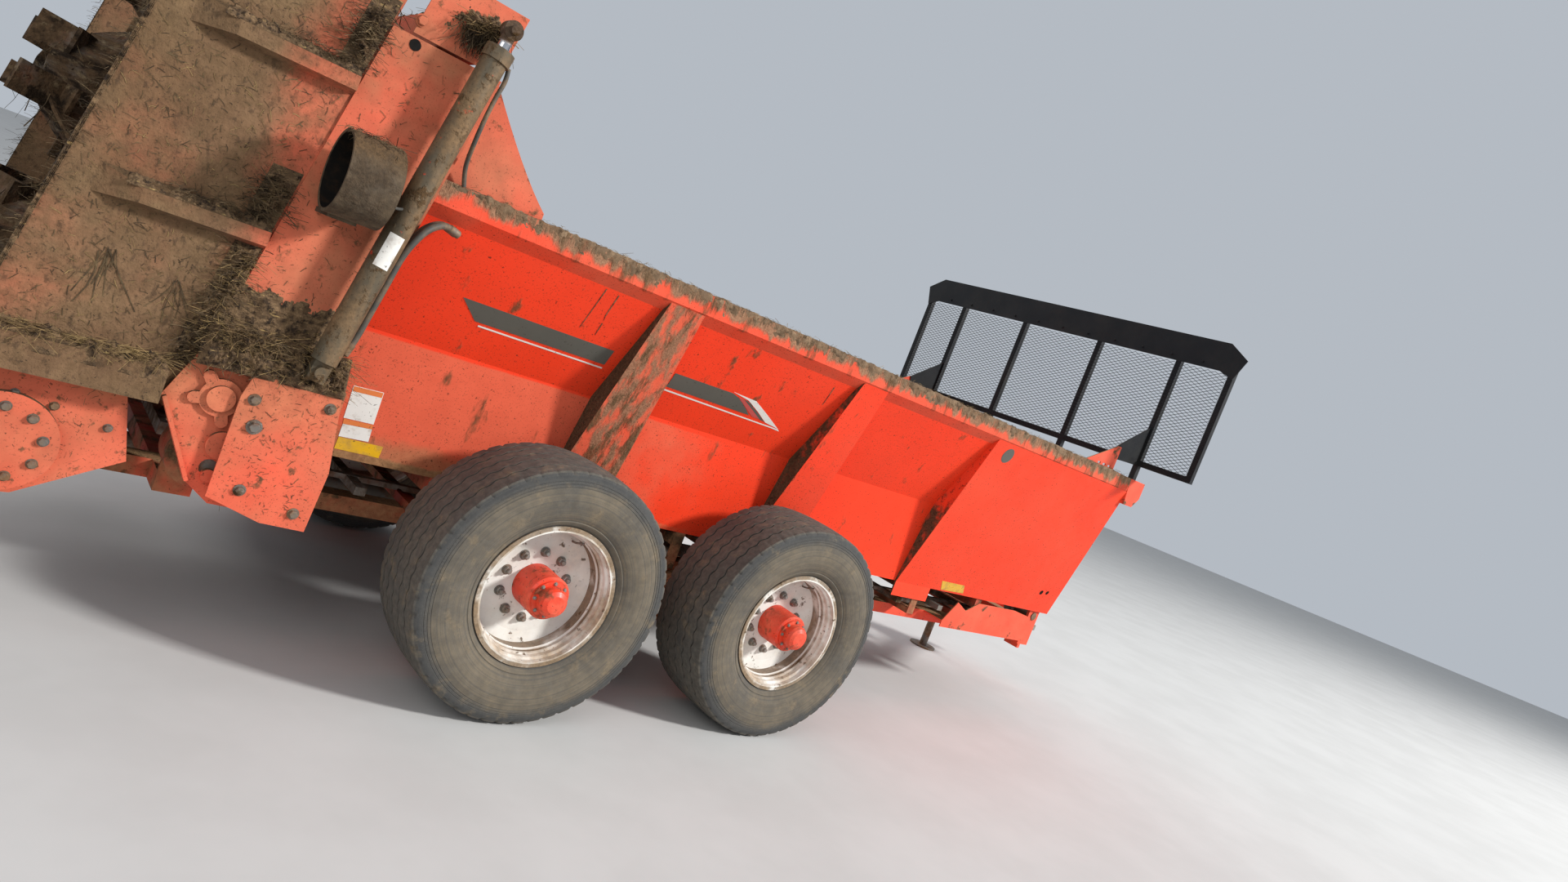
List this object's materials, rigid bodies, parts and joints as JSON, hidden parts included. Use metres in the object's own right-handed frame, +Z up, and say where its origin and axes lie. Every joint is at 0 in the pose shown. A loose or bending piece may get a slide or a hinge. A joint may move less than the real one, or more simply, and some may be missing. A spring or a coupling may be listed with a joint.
{
  "type": "manure spreader",
  "caption": "Box manure spreader on a tandem walking-beam axle, with an apron chain, a sliding endgate, vertical beaters and a mesh guard at the front.",
  "frame": {"origin": "centre of the bounding box on the ground under the machine", "axes": "+X forward to the hitch, +Y to the left, +Z up"},
  "size_m": [7.6371, 2.912, 2.979],
  "materials": {
    "red_paint": "gloss red enamel, sun-faded and dusty",
    "dark_red_paint": "red enamel under dry dirt",
    "steel": "dull steel with dry dirt",
    "cast_steel": "forged and cast steel, worn",
    "worn_steel": "steel worn bright at the tips, caked elsewhere",
    "black_paint": "satin black paint, dusty",
    "white_paint": "white enamel, dirt in the well",
    "tyre_rubber": "weathered truck tyre rubber",
    "floor_board": "poly floor board, stained",
    "lamp_lens": "red lamp lens",
    "hose_rubber": "grey hose cover",
    "rod_chrome": "hard-chromed rod"
  },
  "bodies": {
    "chassis": {"frame_left": "red_paint", "frame_right": "red_paint", "frame_bars": "red_paint", "cross_members": "dark_red_paint", "tongue": "red_paint", "hitch_eye": "cast_steel", "jack_tube": "steel", "floor": "floor_board", "side_left": "red_paint", "side_right": "red_paint", "stakes_left": "red_paint", "stakes_right": "red_paint", "top_rails": "red_paint", "front_panel": "red_paint", "front_beam": "red_paint", "corner_gussets": "red_paint", "guard_frame": "black_paint", "guard_mesh": "black_paint", "apron": "worn_steel", "apron_shafts": "steel", "apron_drive": "dark_red_paint", "drive_shields": "red_paint", "pivot_stubs": "dark_red_paint", "walking_beams": "red_paint", "spindles": "cast_steel", "rear_columns": "red_paint", "corner_wings": "red_paint", "housing_left": "red_paint", "housing_right": "red_paint", "housing_beam": "red_paint", "drive_beam": "dark_red_paint", "base_panels": "red_paint", "driveline": "black_paint", "lift_cylinders": "steel", "tail_lamps": "black_paint", "lamp_lenses": "lamp_lens", "hoses": "hose_rubber"},
    "wheel_fl": {"tyre_fl": "tyre_rubber", "rim_fl": "white_paint", "hub_fl": "red_paint"},
    "wheel_fr": {"tyre_fr": "tyre_rubber", "rim_fr": "white_paint", "hub_fr": "red_paint"},
    "wheel_rl": {"tyre_rl": "tyre_rubber", "rim_rl": "white_paint", "hub_rl": "red_paint"},
    "wheel_rr": {"tyre_rr": "tyre_rubber", "rim_rr": "white_paint", "hub_rr": "red_paint"},
    "beater_l": {"beater_left": "worn_steel"},
    "beater_r": {"beater_right": "worn_steel"},
    "gate": {"endgate": "red_paint", "lift_beam": "red_paint", "lift_rods": "rod_chrome"},
    "jack": {"jack_leg": "steel"}
  },
  "joints": [
    {"name": "spin_fl", "type": "hinge", "parent": "chassis", "child": "wheel_fl", "pos_m": [-0.26733, 1.118, 0.545], "axis": [0, 1, 0], "continuous": true},
    {"name": "spin_fr", "type": "hinge", "parent": "chassis", "child": "wheel_fr", "pos_m": [-0.26733, -1.118, 0.545], "axis": [0, 1, 0], "continuous": true},
    {"name": "spin_rl", "type": "hinge", "parent": "chassis", "child": "wheel_rl", "pos_m": [-1.61933, 1.118, 0.545], "axis": [0, 1, 0], "continuous": true},
    {"name": "spin_rr", "type": "hinge", "parent": "chassis", "child": "wheel_rr", "pos_m": [-1.61933, -1.118, 0.545], "axis": [0, 1, 0], "continuous": true},
    {"name": "beater_left_spin", "type": "hinge", "parent": "chassis", "child": "beater_l", "pos_m": [-3.52833, 0.49, 0], "axis": [0.165, 0, 0.9863], "continuous": true},
    {"name": "beater_right_spin", "type": "hinge", "parent": "chassis", "child": "beater_r", "pos_m": [-3.52833, -0.49, 0], "axis": [0.165, 0, 0.9863], "continuous": true},
    {"name": "gate_lift", "type": "slide", "parent": "chassis", "child": "gate", "axis": [0.165, 0, 0.9863], "range_m": [0, 0.95]},
    {"name": "jack_slide", "type": "slide", "parent": "chassis", "child": "jack", "axis": [0, 0, 1], "range_m": [-0.12, 0.28]}
  ],
  "couplings": [
    {"joint": "beater_right_spin", "follows": "beater_left_spin", "ratio": -1}
  ]
}
